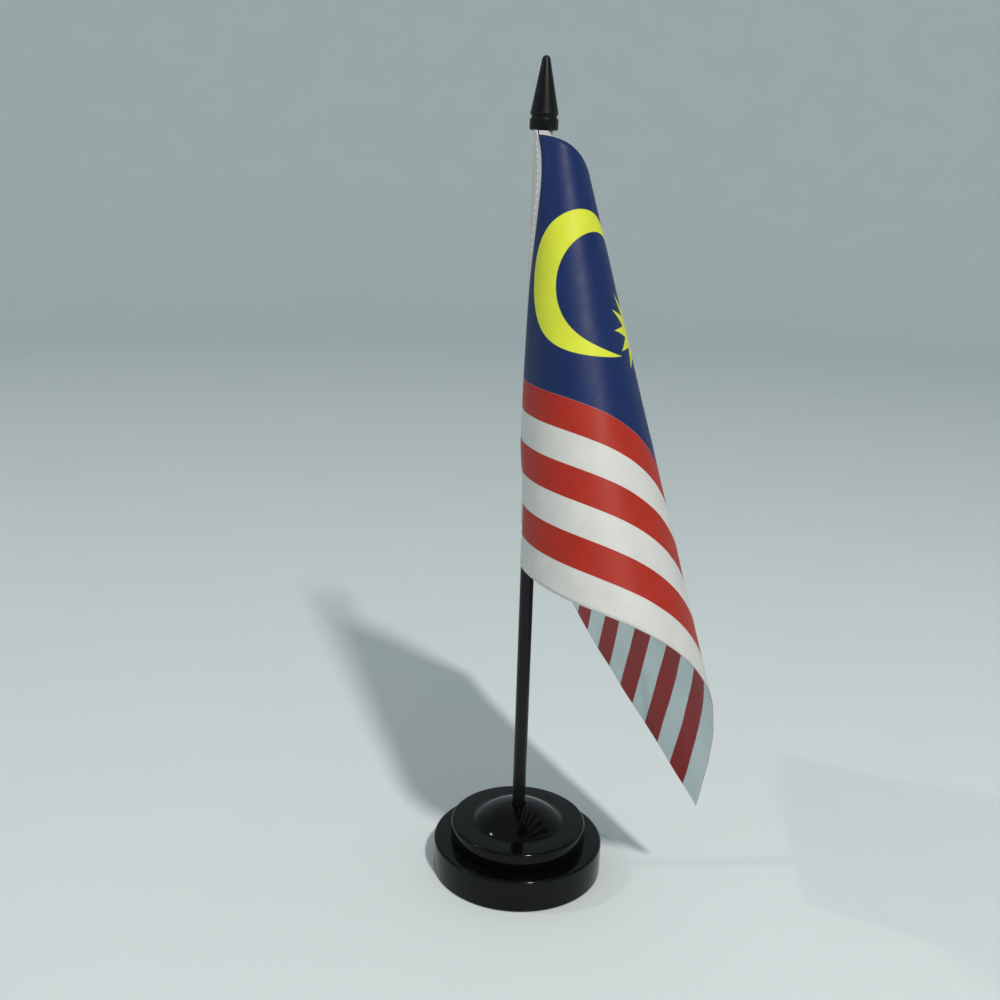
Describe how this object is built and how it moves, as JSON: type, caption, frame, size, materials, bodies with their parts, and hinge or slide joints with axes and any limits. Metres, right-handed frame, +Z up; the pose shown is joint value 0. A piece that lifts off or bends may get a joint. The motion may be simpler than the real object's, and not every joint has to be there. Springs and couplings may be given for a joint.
{
  "type": "desk flag stand",
  "caption": "Round weighted stepped base with an upright pole, a pointed finial and a small printed cloth flag on a sleeve.",
  "frame": {"origin": "centre of the non-slip pad's underside, on the pole's axis", "axes": "+Z up along the pole; +X to the side that the flag hangs towards; -Y towards the side from which the printed face is seen first"},
  "size_m": [0.0972, 0.1669, 0.3],
  "materials": {
    "foam": "matt closed-cell foam",
    "cover_plastic": "fine textured",
    "screw_steel": "zinc plated",
    "ballast_steel": "plain pressed",
    "gloss_plastic_black": "high gloss moulded",
    "satin_plastic_black": "satin moulded",
    "flag_cloth": "printed plain-weave polyester",
    "seam_thread": "spun thread"
  },
  "bodies": {
    "base": {"non_slip_pad": "foam", "bottom_cover": "cover_plastic", "cover_screw_1": "screw_steel", "cover_screw_2": "screw_steel", "cover_screw_3": "screw_steel", "ballast_disc": "ballast_steel", "lower_tier": "gloss_plastic_black", "upper_tier": "gloss_plastic_black"},
    "pole": {"pole": "satin_plastic_black"},
    "finial": {"finial": "satin_plastic_black"},
    "flag": {"flag_panel": "flag_cloth", "pole_sleeve": "flag_cloth", "sleeve_seam": "seam_thread"}
  },
  "joints": [
    {"name": "pole_lift", "type": "slide", "parent": "base", "child": "pole", "axis": [0, 0, 1], "range_m": [0, 0.0232]},
    {"name": "flag_turn", "type": "hinge", "parent": "pole", "child": "flag", "pos_m": [0, 0, 0.2076], "axis": [0, 0, 1], "continuous": true},
    {"name": "finial_pull", "type": "slide", "parent": "pole", "child": "finial", "axis": [0, 0, 1], "range_m": [0, 0.0115]}
  ]
}
